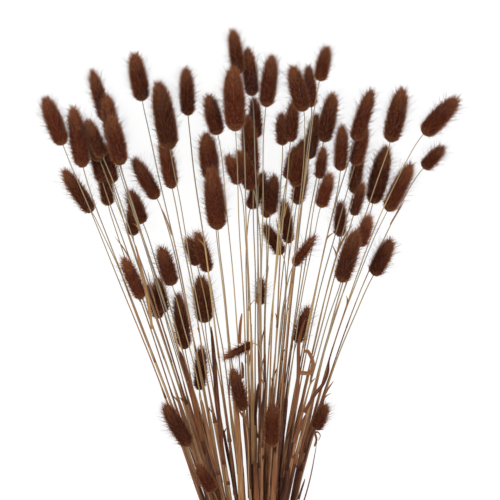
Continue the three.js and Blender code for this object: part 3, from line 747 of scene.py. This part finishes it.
def growCore(stalk, tone):
    # Rings closer together at both ends, where the core rounds off
    first, last = head["ends"]
    turn = np.linspace(0, 1, head["coreRings"])
    s = first + (head["cap"][1] - (first + last)) * (0.5 - 0.5 * np.cos(turn * np.pi))
    base, along, _ = headAxis(stalk)
    centre = base + along * (s * stalk.headLength)[:, None]
    radius = coreRadius(stalk, s)
    values = {"along": head["coreAlong"], "place": s[None, :, None], "tone": tone, "shade": 1.0}
    return sweep(centre, radius, radius, ring(head["coreSides"]), furMaterial, values,
                 lowest=head["coreLowest"])


def growHead(stalk, neighbours):
    generator = drawsFor("head", stalk.number)
    tone = generator.uniform(0, 1)
    return [growCore(stalk, tone),
            growBristles(stalk, "fur", furMaterial, neighbours, tone, generator),
            growBristles(stalk, "awn", awnMaterial, neighbours, tone, generator)]


total = 0
for clump in range(len(clumps)):
    members = [stalk for stalk in stalks if stalk.clump == clump]
    parts = []
    for stalk in members:
        parts += growHead(stalk, [other for other in members if other is not stalk])
    kind = "heads" if len(members) > 1 else "head"
    number = f"{clump + 1:02d}"
    total += makePiece(f"fur_{number}", parts, [furMaterial, awnMaterial], [f"{kind}_{number}"])
print("heads grown:", total, "triangles")


# Stems, sheaths and leaf blades
stem = {
    "rings": 34, "sides": 6, "radius": (0.8, 0.4), "thinning": 0.7, "radiusSpread": (0.85, 1.15),
    "cutRings": 5, "cutTo": -0.15, "intoHead": 4, "headEnd": 0.5,
    "wobble": 3.6, "waves": (13, 5), "tone": (0.0, 0.35), "brown": (0.8, 0.6), "brownBelowMm": 330,
    "sheathRings": 20, "sheathSides": 10, "sheathThickness": 0.95, "sheathStart": -0.9,
    "sheathTops": (0.36, 0.68, 1.0), "overlap": 0.03, "ringSpacing": 0.8,
    "sheathWidth": (0.68, 1.04), "upperWidth": 0.16, "slimmingMm": (185, 240),
    "sheathWaves": (50, 80), "waveShare": 0.08, "clearance": 1.12, "leastWidth": 1.1,
    "mouthMm": 6, "roll": 0.2, "seam": (0.05, 0.45), "nodeMm": 1.6, "nodeGrowth": 0.3,
    "sheathToneAtTie": 1.03, "toneFadeMm": 420, "toneSpread": 0.36, "nodeTone": 0.15, "nodeToneMm": 4,
    "stubShare": 0.3, "stubMm": (4, 10),
}


def stalkPath(stalk, t):
    # The stem's middle line; t below 0 runs from the foot to the cut end, at -1
    end = np.array([stalk.foot[0] * bunch["cutEndSpread"],
                    -bunch["cutEndLength"] - bunch["cutEndJitter"] * drawShare(stalk, "cutEnd"),
                    stalk.foot[2]])
    low = stalk.foot + (end - stalk.foot) * np.clip(-t, 0, 1)[:, None]
    inner = np.clip(t, 0, 1)
    high = np.column_stack([plan(stalk, inner), stemHeight(stalk, inner)])
    beyond = headAxis(stalk)[1] * (np.maximum(0, t - 1) * stem["intoHead"])[:, None]
    middle = np.where((t < 0)[:, None], low, high + beyond)
    first, second = stem["waves"]
    wave = np.sin(t * first + stalk.number) * np.sin(t * second + stalk.number * 2.3)
    middle[:, 0] += wave * stem["wobble"] * inner * np.clip(1 - t, 0, 1)
    return middle


def lengthAlong(centre):
    return np.concatenate([[0], np.cumsum(np.linalg.norm(np.diff(centre, axis=0), axis=1))])


def streakValues(tone, around, centre, seed):  # around and lengthwise are in millimetres
    return {"tone": np.clip(tone, 0, 1)[None, :, None], "around": around,
            "lengthwise": lengthAlong(centre)[None, :, None], "seed": seed}


def stemRadius(stalk, t):
    own = mix(*stem["radiusSpread"], drawShare(stalk, "girth"))
    return mix(*stem["radius"], np.clip(t, 0, 1) ** stem["thinning"]) * own


def growStem(stalk):
    belowTie = np.linspace(-1, stem["cutTo"], stem["cutRings"])
    t = np.concatenate([belowTie, np.linspace(0, 1, stem["rings"]), [2]])
    centre = stalkPath(stalk, t)
    radius = stemRadius(stalk, t)
    radius[-1] *= stem["headEnd"]
    atTie, most = stem["brown"]
    brown = np.clip(atTie - centre[:, 1] / stem["brownBelowMm"], 0, most)
    tone = drawsFor("stem", stalk.number).uniform(*stem["tone"]) + brown
    around = np.arange(stem["sides"]) * radius.mean() * fullTurn / stem["sides"]
    return sweep(centre, radius, radius, ring(stem["sides"]), stemMaterial,
                 streakValues(tone, around, centre, stalk.number * 3.7))


def growSheaths(stalk):
    # Three rolled sheaths, each out of the one below: a spiral section, wider at its node and
    # closing round the stem at its mouth
    generator = drawsFor("sheath", stalk.number)
    parts = []
    tops = np.array(stem["sheathTops"]) * stalk.sheathEnd
    bottoms = np.array([stem["sheathStart"], *(tops[:-1] - stem["overlap"])])
    broad = generator.uniform(*stem["sheathWidth"])
    turn = np.arange(stem["sheathSides"]) / stem["sheathSides"]
    spiral = 1 - stem["roll"] * turn
    for order, (bottom, top) in enumerate(zip(bottoms, tops)):
        t = mix(bottom, top, np.linspace(0, 1, stem["sheathRings"]) ** stem["ringSpacing"])
        centre = stalkPath(stalk, t)
        halfWidth, _ = stemSection(stalk, np.clip(t, 0, stalk.sheathEnd))
        slimming = np.interp(centre[:, 1], stem["slimmingMm"], (1, stem["upperWidth"]))
        halfWidth = halfWidth * broad * slimming
        waves = np.sin(t * generator.uniform(*stem["sheathWaves"]) + generator.uniform(0, 6))
        bare = stemRadius(stalk, t) * stem["clearance"]
        halfWidth = np.maximum(halfWidth * (1 + stem["waveShare"] * waves), bare * stem["leastWidth"])
        halfThickness = np.minimum(stem["sheathThickness"], halfWidth)
        fromNode = np.linalg.norm(centre - centre[0], axis=1)
        fromMouth = np.linalg.norm(centre - centre[-1], axis=1)
        node = 1 + stem["nodeGrowth"] * np.exp(-(fromNode / stem["nodeMm"]) ** 2) * (order > 0)
        closing = np.clip(fromMouth / stem["mouthMm"], 0, 1) ** 0.5
        halfWidth = mix(bare, halfWidth * node, closing)
        halfThickness = mix(bare, halfThickness * node, closing)
        angle = turn * fullTurn + generator.uniform(*stem["seam"]) * fullTurn
        tone = stem["sheathToneAtTie"] - np.maximum(centre[:, 1], 0) / stem["toneFadeMm"]
        tone += (generator.uniform(-1, 1) * stem["toneSpread"]
                 + stem["nodeTone"] * np.exp(-fromNode / stem["nodeToneMm"]) * (order > 0))
        values = streakValues(tone, turn * halfWidth.mean() * fullTurn, centre,
                              stalk.number * 5.3 + order)
        parts.append(sweep(centre, halfWidth, halfThickness,
                           (np.cos(angle) * spiral, np.sin(angle) * spiral), sheathMaterial, values))
        if generator.uniform() < stem["stubShare"]:
            parts.append(growStub(centre[-3:], generator))
    return parts


blade = {
    "shrunk": 0.42, "reach": 0.5,  # dry leaves are this much of their solid's width and length
    "rings": 22, "across": 5, "thickness": 0.12, "fold": 0.5, "twist": 1.6, "tipWidth": 0.12,
    "tipTone": 0.25, "toneAtTie": 0.9, "toneFadeMm": 380, "toneSpread": 0.2, "tones": (0.05, 0.9),
    "stubRings": 7, "stubHalfWidth": 0.8, "stubOut": (0.2, 0.7), "stubLift": (0.5, 2.0),
    "stubTwist": 2.5, "stubFullness": 1.05, "leafFullness": 1.02,
    "rest": 0.15, "restWidth": 0.7, "steepest": 0.3, "smoothing": 5,
    "press": 0.6, "rootDrop": 6, "rootMm": 5, "archEnd": 0.8,
}
onTop = {"air": blade["rest"], "side": 0.3, "depth": 1, "width": 1, "onTable": True}


def smoothPath(points, count, reach=1):
    # A smooth curve through laid points: cubic pieces, each slope taken from both neighbours
    points = np.asarray(points, float)
    at = np.linspace(0, (len(points) - 1) * reach, count)
    low = np.minimum(at.astype(int), len(points) - 2)
    u = (at - low)[:, None]
    slope = np.gradient(points, axis=0)
    a, b = points[low], points[low + 1]
    return ((2 * u ** 3 - 3 * u ** 2 + 1) * a + (u ** 3 - 2 * u ** 2 + u) * slope[low]
            + (3 * u ** 2 - 2 * u ** 3) * b + (u ** 3 - u ** 2) * slope[low + 1])


def growBlade(centre, halfWidth, twist, seed, tone):
    # A thin folded strip: across the top and back along the underside, turned as it goes
    count = blade["across"]
    v = np.linspace(1, -1, count)
    x = np.concatenate([v, v[::-1]])
    side = np.concatenate([np.ones(count), -np.ones(count)])
    share = np.linspace(0, 1, len(centre))
    turn = twist * share ** 1.5
    height = np.abs(x) * blade["fold"] * halfWidth[:, None] + side * blade["thickness"]
    wide = x * halfWidth[:, None] * np.sqrt(1 - 0.5 * blade["fold"] ** 2)
    acrossX = wide * np.cos(turn)[:, None] - height * np.sin(turn)[:, None]
    overY = wide * np.sin(turn)[:, None] + height * np.cos(turn)[:, None]
    ones = np.ones(len(centre))
    return sweep(centre, ones, ones, (acrossX, overY), bladeMaterial,
                 streakValues(tone + blade["tipTone"] * share, x * halfWidth.mean(), centre, seed))


def dryTone(y, generator):  # leaves are paler further from the tie
    own = generator.uniform(-blade["toneSpread"], blade["toneSpread"])
    return np.clip(blade["toneAtTie"] - y / blade["toneFadeMm"] + own, *blade["tones"])


def growStub(mouth, generator):
    # The torn end of a leaf, curling away from the mouth of its sheath
    ahead = unit(mouth[-1] - mouth[0])
    aside = unit(np.cross(up, ahead)) * generator.choice([-1, 1])
    length = generator.uniform(*stem["stubMm"])
    u = np.linspace(0, 1, blade["stubRings"])
    out = u ** 1.6 * generator.uniform(*blade["stubOut"])
    centre = (mouth[0] + ahead * (u * length)[:, None] + aside * (out * length)[:, None]
              + up * (np.sin(u * 2.2) * generator.uniform(*blade["stubLift"]))[:, None])
    halfWidth = blade["stubHalfWidth"] * np.sqrt(blade["stubFullness"] - u ** 2)
    twist = generator.uniform(-blade["stubTwist"], blade["stubTwist"])
    return growBlade(centre, halfWidth, twist, generator.uniform(0, 99),
                     dryTone(mouth[0, 1], generator))


def growLaidBlade(stalk):  # the arched leaf that was laid with the solids, shrunk as it dried
    generator = drawsFor("blade", stalk.number)
    points, halfWidth = stalk.blade
    share = np.linspace(0, 1, blade["rings"])
    wide = np.interp(share, np.linspace(0, 1, bunch["bladeSteps"] + 1), halfWidth)
    wide *= blade["shrunk"]
    wide *= np.sqrt(1 - share ** 3) * (1 - blade["tipWidth"]) + blade["tipWidth"]
    centre = smoothPath(points, blade["rings"], blade["reach"])
    return growBlade(centre, wide, generator.uniform(-1, 1) * blade["twist"], stalk.number * 2.9,
                     dryTone(points[0, 1], generator))


total = 0
for layer in range(1, layerCount + 1):
    parts = []
    for stalk in (s for s in stalks if s.layer == layer):
        parts += [growStem(stalk), *growSheaths(stalk)]
        if stalk.blade is not None:
            parts.append(growLaidBlade(stalk))
    total += makePiece(f"stems_{layer}", parts, [stemMaterial, sheathMaterial, bladeMaterial],
                       [f"stems_layer_{layer}"])
print("stems and leaves grown:", total, "triangles")

# Leaves that the photograph shows, each from its root: x and y in mm from the tie, half width at the
# root and in the middle, arch over what it lies on, twist, tone
leaves = {
    "left_tan": ([(-95, 272), (-99, 298), (-105, 325), (-109.8, 347)], 1.2, 1.5, 3, 0.4, 0.0),
    "middle_pointed": ([(-16.4, 259), (-16.4, 268), (-15.9, 277), (-14.6, 286.5)],
                       1.3, 1.5, 1, 0.5, 0.3),
    "under_head": ([(-13.5, 228), (-13.8, 236), (-14.6, 243)], 1.0, 1.4, 1, 0.5, 0.75),
    "left_middle_wide": ([(-31, 150), (-34, 180), (-37.5, 215), (-40, 248), (-42.3, 274)],
                         1.6, 2.3, 2, 0.3, 0.75),
    "left_curl": ([(-62.5, 226), (-64.3, 232), (-66.8, 239), (-69, 246), (-70.5, 252)],
                  1.8, 2.1, 2, 0.6, 0.75),
    "left_reddish": ([(-50, 170), (-53.5, 186), (-57.5, 205), (-60.3, 217), (-62.6, 229)],
                     2.0, 2.5, 2, 0.3, 0.5),
    "right_long": ([(26, 173), (31.5, 195), (35, 215), (36.3, 235), (36.5, 257), (39.6, 272),
                    (43, 282)], 1.0, 1.8, 2, 0.3, 0.4),
    "right_ribbon": ([(37, 233), (43, 232.5), (47.5, 233.3), (49.4, 238), (48.3, 245), (45.6, 250.6),
                      (43.6, 252.8), (41.2, 250.6)], 2.0, 1.9, 4, 0.3, 0.3),
    "right_pointed": ([(41.5, 197), (46, 205), (51, 214), (57.7, 222.5), (62, 233), (63, 243),
                       (66.6, 256)], 1.7, 1.8, 2, 1.3, 0.75),
    "right_short": ([(32, 170), (36.5, 181), (42.5, 195)], 1.4, 1.9, 1, 0.4, 0.55),
    "middle_tip": ([(-3, 185), (-1.5, 205), (0, 223)], 1.3, 1.5, 2, 0.3, 0.85),
    "middle_tip_right": ([(1, 172), (3, 195), (5.4, 218)], 1.0, 1.2, 2, 0.3, 0.8),
    "over_low_head": ([(-9, 184), (-11, 190), (-15.5, 197), (-20, 204)], 0.9, 1.2, 2, 0.8, 0.5),
    "right_edge": ([(19, 50), (27.5, 77), (36, 102), (42.5, 120), (48, 141), (53.3, 170)],
                   1.0, 0.7, 1, 0.1, 0.55),
    "right_curl": ([(51, 166), (52.5, 172.5), (51, 178.5), (54, 179.5), (56.3, 176), (54.5, 171.5)],
                   0.8, 1.2, 2, 2.0, 0.6),
    "low_middle_curl": ([(4, 155), (6, 158.5), (10.8, 157)], 0.8, 1.1, 1, 1.2, 0.85),
    "low_right_stub": ([(36.5, 118), (39, 127), (42.3, 137)], 1.1, 1.0, 2, 0.6, 0.95),
    "middle_tan": ([(-4.4, 150), (-5, 190), (-5.6, 235), (-6.4, 281)], 1.5, 1.6, 1, 0.15, -0.15),
    "below_low_head": ([(-15, 112), (-16, 140), (-17.5, 170), (-19, 200)], 2.6, 2.8, 1, 0.1, 0.15),
    "low_middle_red": ([(-1, 105), (-1.5, 125), (-3, 152)], 2.2, 2.3, 1, 0.2, 0.45),
    "low_right_dark": ([(24, 118), (26, 130), (28, 148)], 1.8, 2.0, 1, 0.6, 0.9),
    "low_right_red": ([(12, 105), (14, 130), (15, 162)], 1.8, 2.2, 1, 0.2, 0.35),
}


def layLeaf(points, rootWidth, middleWidth, arch):
    # Over what lies under it, as stiff as a dry leaf: it bridges gaps, arches from its root's height
    # and comes down to what carries it only at its root
    path = smoothPath(points, blade["rings"])
    share = np.linspace(0, 1, blade["rings"])
    halfWidth = mix(rootWidth, middleWidth, np.sin(np.minimum(1, share * 2) * np.pi / 2))
    halfWidth *= np.sqrt(blade["leafFullness"] - share ** 4)
    thin = np.full(len(path), blade["thickness"])
    everything = lambda rows: np.ones(len(rows), bool)
    over = heightOver(path, halfWidth * blade["restWidth"], thin, everything, onTop)
    way = lengthAlong(path)
    bridging = (over - blade["steepest"] * np.abs(way[:, None] - way)).max(axis=1)
    z = np.maximum(bridging[0] + arch * np.sin(share * np.pi * blade["archEnd"]), bridging)
    reach = blade["smoothing"]
    smooth = np.convolve(np.pad(z, reach // 2, mode="edge"), np.ones(reach) / reach, mode="valid")
    drop = min(smooth[0] - over[0] + blade["press"], blade["rootDrop"])
    z = np.maximum(smooth - drop * np.exp(-(way / blade["rootMm"]) ** 2), over - blade["press"])
    z = np.maximum(z, blade["thickness"] + halfWidth * blade["fold"])
    return np.column_stack([path, z]), halfWidth


parts = []
for order, (points, rootWidth, middleWidth, arch, twist, tone) in enumerate(leaves.values()):
    path, halfWidth = layLeaf(points, rootWidth, middleWidth, arch)
    parts.append(growBlade(path, halfWidth, twist, 200 + order, tone))
total = makePiece("loose_leaves", parts, [bladeMaterial], [])
print("loose leaves laid:", total, "triangles")


# The tie: three-strand jute, wound round the stems and knotted on top
twine = {
    "radius": 1.1, "corner": 2.2, "cornerPoints": 8, "gap": 0.75, "lowest": 1.05, "stepMm": 0.9,
    "closeness": 0.75, "strands": 3, "strandShare": 0.56, "strandTurnMm": 6.5, "sides": 6,
    "aboveTable": 0.02, "strandTone": 0.35, "fibreTone": 0.2,
    "knotSize": 0.72, "knotHeight": 1.0, "knotPoints": 90, "knotRise": 1.4,
    "tail": ((1, 0, 0.8), (5, -8.1, 6), (9, -16.2, 1), (7, -27, -0.7)), "tailPoints": 40,
    "fibresPerMm": 1.6, "fibreMm": (0.8, 2.6), "fibreHalfWidth": 0.05, "fibreRoot": 0.7,
    "fibreSag": 0.15, "frayFibres": 70, "frayMm": (3, 7), "fraySpread": 0.35,
}


def twistStrands(centre, facing, endless=False):
    # Strands round a path: centre + (across * cos(turn) + over * sin(turn)) * distance
    across, over = pathFrame(centre, facing, endless)
    length = lengthAlong(centre)
    turns = length / twine["strandTurnMm"]
    if endless:
        turns = np.arange(len(centre)) / len(centre) * np.round(turns[-1])
    angle = fullTurn * (turns + np.arange(twine["strands"])[:, None] / twine["strands"])
    away = twine["radius"] * (1 - twine["strandShare"])
    paths = centre + (across * np.cos(angle)[..., None] + over * np.sin(angle)[..., None]) * away
    radius = np.full(paths.shape[:2], twine["radius"] * twine["strandShare"])
    values = {"tone": twine["strandTone"], "lengthwise": length[None, :, None],
              "around": np.arange(twine["sides"]) * 0.5,
              "seed": np.arange(twine["strands"])[:, None, None] * 7.1}
    return sweep(paths, radius, radius, ring(twine["sides"]), twineMaterial, values,
                 lowest=twine["aboveTable"], facing=facing, endless=endless)


def growFibres(root, direction, length):
    halfWidth = np.full(len(root), twine["fibreHalfWidth"])
    sag = -up * (length * twine["fibreSag"])[:, None]
    corners, faces, share = bristles(root, direction, sag, length, halfWidth, 2)
    corners[..., 2] = np.maximum(corners[..., 2], twine["aboveTable"])
    return {"corners": corners, "faces": faces, "material": twineMaterial,
            "values": {"tone": twine["fibreTone"], "lengthwise": share, "around": 0.0,
                       "seed": root[:, :1]}}


def windingPath():
    # Turns of a rounded rectangle, moving along the stems by a share of the solid's pitch a turn
    reachX, reachZ = bunch["footHalfWidth"], bunch["sheathHalfThickness"]
    heights = np.array([stalk.foot[2] for stalk in stalks])
    low = np.array([feet.min() - reachX, heights.min() - reachZ])
    high = np.array([feet.max() + reachX, heights.max() + reachZ])
    inset = twine["corner"] - twine["gap"]
    radius = twine["corner"] + twine["radius"]
    quarter = np.linspace(0, np.pi / 2, twine["cornerPoints"])[::-1]
    outline = []
    for x, z, corner in ((high[0], low[1], 3), (*low, 2), (low[0], high[1], 1), (*high, 0)):
        angle = corner * np.pi / 2 + quarter
        inwardX = x - inset if x > 0 else x + inset
        inwardZ = z - inset if z > low[1] else z + inset
        outline += list(zip(inwardX + np.cos(angle) * radius, inwardZ + np.sin(angle) * radius))
    outline = np.roll(np.array(outline), twine["cornerPoints"], axis=0)
    top = outline[0] * [0, 1]
    outline = np.vstack([top, outline, top])
    length = lengthAlong(outline)
    count = int(length[-1] / twine["stepMm"]) * bunch["twineTurns"]
    turn = np.linspace(0, bunch["twineTurns"], count)
    at = turn % 1 * length[-1]
    along = (turn - bunch["twineTurns"] / 2) * bunch["twinePitch"] * twine["closeness"]
    z = np.maximum(np.interp(at, length, outline[:, 1]), twine["lowest"])
    path = np.column_stack([np.interp(at, length, outline[:, 0]), bunch["tiePlace"] + along, z])
    return path, high[1] + twine["gap"] + twine["radius"]


winding, tieTop = windingPath()
generator = drawsFor("tie")
alongStems = np.array([0.0, 1.0, 0.0])
knotMiddle = np.array([0, bunch["tiePlace"], tieTop + twine["radius"] * twine["knotRise"]])
t = np.linspace(0, fullTurn, twine["knotPoints"], endpoint=False)
knot = np.column_stack([np.sin(t) + 2 * np.sin(2 * t), np.cos(t) - 2 * np.cos(2 * t),
                        -np.sin(3 * t) * twine["knotHeight"]]) * twine["knotSize"]  # a trefoil
parts = [twistStrands(winding, alongStems), twistStrands(knotMiddle + knot, up, endless=True)]
ends = []
share = np.linspace(0, 1, twine["tailPoints"])[:, None]
for side in (-1, 1):
    guides = np.array(twine["tail"]) * (side, 1, 1)
    tail = bezier(*guides, share) + np.array([0, bunch["tiePlace"], tieTop])
    parts.append(twistStrands(tail, up))
    ends.append(tail)
for path in (winding, *ends):
    count = int(lengthAlong(path)[-1] * twine["fibresPerMm"])
    root = path[generator.integers(0, len(path), count)]
    outward = unit(generator.normal(0, 1, (count, 3)))
    parts.append(growFibres(root + outward * twine["radius"] * twine["fibreRoot"], outward,
                            generator.uniform(*twine["fibreMm"], count)))
for tail in ends:
    spread = generator.normal(0, twine["fraySpread"], (twine["frayFibres"], 3))
    outward = unit(unit(tail[-1] - tail[-3]) + spread)
    parts.append(growFibres(tail[-1] + generator.normal(0, twine["fraySpread"], outward.shape), outward,
                            generator.uniform(*twine["frayMm"], twine["frayFibres"])))
total = makePiece("twine", parts, [twineMaterial], ["twine_tie"])
print("tie wound:", total, "triangles")


# Floor, light and camera
photo = {"pixels": 500, "mmPerPixel": 0.9, "centreX": -7.2, "centreY": 342.9, "levelMm": 45}
view = {"distance": 5.0, "sensor": 36, "furthest": 100}
floor = {"size": 8.0, "level": -0.0002, "colour": "#6a6a6a", "roughness": 0.9,
         "glowColour": "#ffffff", "glow": 0.9}
lightTarget = (0, 0.1, 0)
lights = {  # place and width in metres, and power in watts
    "key light": ((-1.2, 1.0, 2.6), 1.6, 30),
    "fill light": ((1.6, -0.4, 2.2), 2.0, 14),
}
surroundings = {"colour": "#ffffff", "strength": 0.7}


def makeFloor():
    half, level = floor["size"] / 2, floor["level"]
    mesh = bpy.data.meshes.new("floor")
    corners = [(-half, -half, level), (half, -half, level), (half, half, level), (-half, half, level)]
    mesh.from_pydata(corners, [], [(0, 1, 2, 3)])
    material, tree = newMaterial("white table")
    finishMaterial(tree, linearColour(floor["colour"]), Roughness=floor["roughness"],
                   Emission_Color=linearColour(floor["glowColour"]),
                   Emission_Strength=floor["glow"])
    mesh.materials.append(material)
    table = addObject("floor", mesh)


def makeLight(name, place, width, power):
    light = bpy.data.lights.new(name, "AREA")
    light.shape = "DISK"
    light.size = width
    light.energy = power
    lamp = addObject(name, light)
    lamp.location = place
    direction = Vector(lightTarget) - Vector(place)
    lamp.rotation_euler = direction.to_track_quat("-Z", "Y").to_euler()


def makeCamera():
    centre = np.array([photo["centreX"], photo["centreY"], photo["levelMm"]]) * millimetre + tieOrigin
    acrossPhoto = photo["pixels"] * photo["mmPerPixel"] * millimetre
    camera = bpy.data.cameras.new("camera")
    camera.sensor_width = view["sensor"]
    camera.lens = camera.sensor_width * view["distance"] / acrossPhoto
    camera.clip_end = view["furthest"]
    eye = addObject("camera", camera)
    eye.location = centre + up * view["distance"]
    bpy.context.scene.camera = eye


def makeSurroundings():
    world = bpy.data.worlds.new("white surroundings")
    bpy.context.scene.world = world
    world.use_nodes = True
    light = world.node_tree.nodes["Background"].inputs
    light["Color"].default_value = linearColour(surroundings["colour"])
    light["Strength"].default_value = surroundings["strength"]


makeFloor()
for name, (place, width, power) in lights.items():
    makeLight(name, place, width, power)
makeCamera()
makeSurroundings()
bpy.context.scene.view_settings.view_transform = "Standard"
print("floor, light and camera set")
